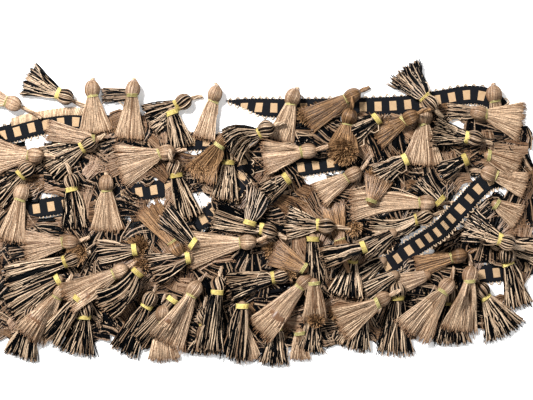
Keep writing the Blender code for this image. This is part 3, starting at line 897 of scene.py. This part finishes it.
def tape_line():
    """The tape's middle line in three dimensions, its left side, its half width and its run."""
    line = smooth_route(TAPE_ROUTE["floor"] + TAPE_ROUTE["top"], TAPE_STEP)
    ahead = np.gradient(line, axis=0)
    ahead /= np.hypot(*ahead.T)[:, None]
    side = np.column_stack([-ahead[:, 1], ahead[:, 0]])
    half = tape_halves(line)
    levels = Levels("tape")
    left = [levels.middle(p + s * h) for p, s, h in zip(line, side, half)]
    coarse = np.column_stack([line, left])
    run = np.concatenate([[0], np.cumsum(np.linalg.norm(np.diff(coarse, axis=0), axis=1))])
    spaced = np.linspace(0, run[-1], int(run[-1] / 2.2))
    fine = np.column_stack([np.interp(spaced, run, coarse[:, axis]) for axis in range(3)])
    over = np.column_stack([np.interp(spaced, run, side[:, axis]) for axis in range(2)])
    over /= np.hypot(*over.T)[:, None]
    return fine, over, np.interp(spaced, run, half), spaced


def make_tape(finishes):
    line, over, half, run = tape_line()
    offsets = np.linspace(-1, 1, 9)[None] * (half - 0.5)[:, None]
    ripple = 0.25 * np.sin(run / 5.3)[:, None] * np.sin(offsets / 5 + run[:, None] / 31)
    top = np.zeros((*offsets.shape, 3))
    top[..., :2] = line[:, None, :2] + over[:, None] * offsets[..., None]
    top[..., 2] = line[:, None, 2] + ripple + 0.25
    strips = np.zeros_like(top)
    strips[..., 0] = run[:, None]
    strips[..., 1] = offsets + (TAPE_WIDE / 2 - half)[:, None]
    bottom = top.copy()
    bottom[..., 2] -= BAND_THICK
    rings = np.concatenate([top, bottom[:, ::-1]], axis=1)
    marks = np.concatenate([strips, strips[:, ::-1]], axis=1)
    steps, sides = rings.shape[:2]
    index = np.arange(steps * sides).reshape(steps, sides)
    after = np.roll(index, -1, axis=1)
    quads = np.stack([index[:-1], index[1:], after[1:], after[:-1]], axis=-1).reshape(-1, 4)
    middle = sides // 2
    caps = []
    for row, flip in ((index[0], True), (index[-1], False)):
        for k in range(middle - 1):
            cap = [row[k], row[sides - 1 - k], row[sides - 2 - k], row[k + 1]]
            caps.append(cap[::-1] if flip else cap)
    band = mesh_object("woven_tape", rings.reshape(-1, 3), np.vstack([quads, caps]),
                       finishes["tape"], strips=marks.reshape(-1, 3))
    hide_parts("tape")
    edges = Batch()
    picots(edges, line, over, half - 0.6, run)
    picots(edges, line, over, 0.6 - half, run)
    loops = edges.make("picot_loops", finishes["gimp"], "beige_gimp")
    gimp = heading(line, over, run).make("gimp_heading", finishes["gimp"], "beige_gimp")


def picots(batch, line, over, offset, run):
    """Small loops of beige yarn that stand out along one edge, five or six millimetres apart."""
    share = np.linspace(-1, 1, 7)
    paths = []
    for start in np.arange(3.0, run[-1] - 3, PICOT_PITCH):
        spread = start + share * 1.7 * (1 + random.normal(0, 0.08))
        reach = (1 - share**2) * 2.1 * (1 + random.normal(0, 0.15)) - 0.4
        plan = np.column_stack([np.interp(spread, run, line[:, axis]) for axis in range(3)])
        side = np.column_stack([np.interp(spread, run, over[:, axis]) for axis in range(2)])
        edge = np.interp(spread, run, offset)
        plan[:, :2] += side * (edge + np.sign(edge) * reach)[:, None]
        plan[:, 2] = np.maximum(plan[:, 2] + 0.15, 0.5)
        paths.append(plan)
    paths = np.array(paths)
    tone = random.uniform(0.3, 1, (len(paths), 1)) + np.zeros((1, 7))
    batch.add(paths, np.full(paths.shape[:2], 0.5), 3, np.stack([tone, 0 * tone, 0 * tone], -1))


def heading(line, over, run):
    """The gimp: a beige cord wound closely across a flat core, along one stretch of the edge."""
    batch = Batch()
    ends = [run[np.hypot(*(line[:, :2] - placed(*place)).T).argmin()] for place in GIMP_ENDS]
    starts = np.arange(ends[0], ends[1], GIMP_PITCH)
    share = np.linspace(-1, 1, 6)
    spread = starts[:, None] + share * 0.7
    plan = np.stack([np.interp(spread, run, line[:, axis]) for axis in range(3)], axis=-1)
    side = np.stack([np.interp(spread, run, over[:, axis]) for axis in range(2)], axis=-1)
    plan[..., :2] += side * (GIMP_OFFSET + share * 3.0)[None, :, None]
    plan[..., 2] += 0.6 + 0.8 * (1 - share**2)
    tone = random.uniform(0.2, 1, (len(starts), 1)) + 0 * spread
    batch.add(plan, np.full(spread.shape, 0.62), 4, np.stack([tone, 0 * tone, 0 * tone], -1))
    return batch


def stage():
    """Plain pale floor, soft studio light, and the camera straight above the heap."""
    bpy.ops.mesh.primitive_plane_add(size=6.0, location=(0, 0, -0.0004))
    floor = bpy.context.active_object
    floor.name = "floor"
    material, tree, out = new_material("pale floor")
    shader = add_node(tree, "BsdfPrincipled",
                      inputs={"Base Color": (0.95, 0.95, 0.95, 1.0), "Roughness": 0.9,
                              "Emission Color": (1.0, 1.0, 1.0, 1.0), "Emission Strength": 0.2})
    tree.links.new(shader.outputs["BSDF"], out.inputs["Surface"])
    floor.data.materials.append(material)
    world = bpy.data.worlds.new("studio")
    bpy.context.scene.world = world
    world.use_nodes = True
    world.node_tree.nodes["Background"].inputs["Color"].default_value = (1, 1, 1, 1)
    world.node_tree.nodes["Background"].inputs["Strength"].default_value = 0.26
    for name, place, size, power in LIGHTS:
        light = bpy.data.lights.new(name, "AREA")
        light.size = size
        light.energy = power
        lamp = bpy.data.objects.new(name, light)
        lamp.location = place
        lamp.rotation_euler = Vector(place).to_track_quat("Z", "Y").to_euler()
        bpy.context.scene.collection.objects.link(lamp)
    camera = bpy.data.cameras.new("camera")
    camera.sensor_width = 36.0
    camera.lens = camera.sensor_width * CAMERA_AWAY / (VIEW_WIDE * PLAN * MM)
    camera.clip_end = 10.0
    eye = bpy.data.objects.new("camera", camera)
    x, y = placed(*VIEW_MIDDLE) * MM
    eye.location = (x, y, CAMERA_AWAY + HEAP_LEVEL)
    bpy.context.scene.collection.objects.link(eye)
    bpy.context.scene.camera = eye


def main():
    for obj in bpy.context.selected_objects:
        obj.select_set(False)
    finishes = {
        "plain": rayon_yarn("beige rayon yarn", "#6b4a30", "#e4c5a4", "#8c6647"),
        # painted shade: the same beige yarn as it looks in the heap's shade
        "brown": rayon_yarn("shaded beige rayon yarn", "#452b17", "#c2976b", "#7a5434"),
        "striped": rayon_yarn("black and beige rayon yarn", "#6e533c", "#e2c6a6", "#98775a",
                              other="#030406"),
        "yellow": rayon_yarn("yellow tie thread", "#8c7738", "#ddca7c", "#bfa658"),
        "olive": rayon_yarn("olive tie thread", "#7a7040", "#bdb276", "#8f8750"),
        "gimp": rayon_yarn("beige gimp cord", "#8d6f52", "#dfc3a2", "#a88a68", rough=0.6),
        "tape": woven_tape(),
    }
    stage()
    make_tassels(finishes)
    make_ground_tassels(finishes)
    make_brushes(finishes["brown"])
    make_tape(finishes)
    bpy.context.scene.view_settings.view_transform = "Standard"


main()
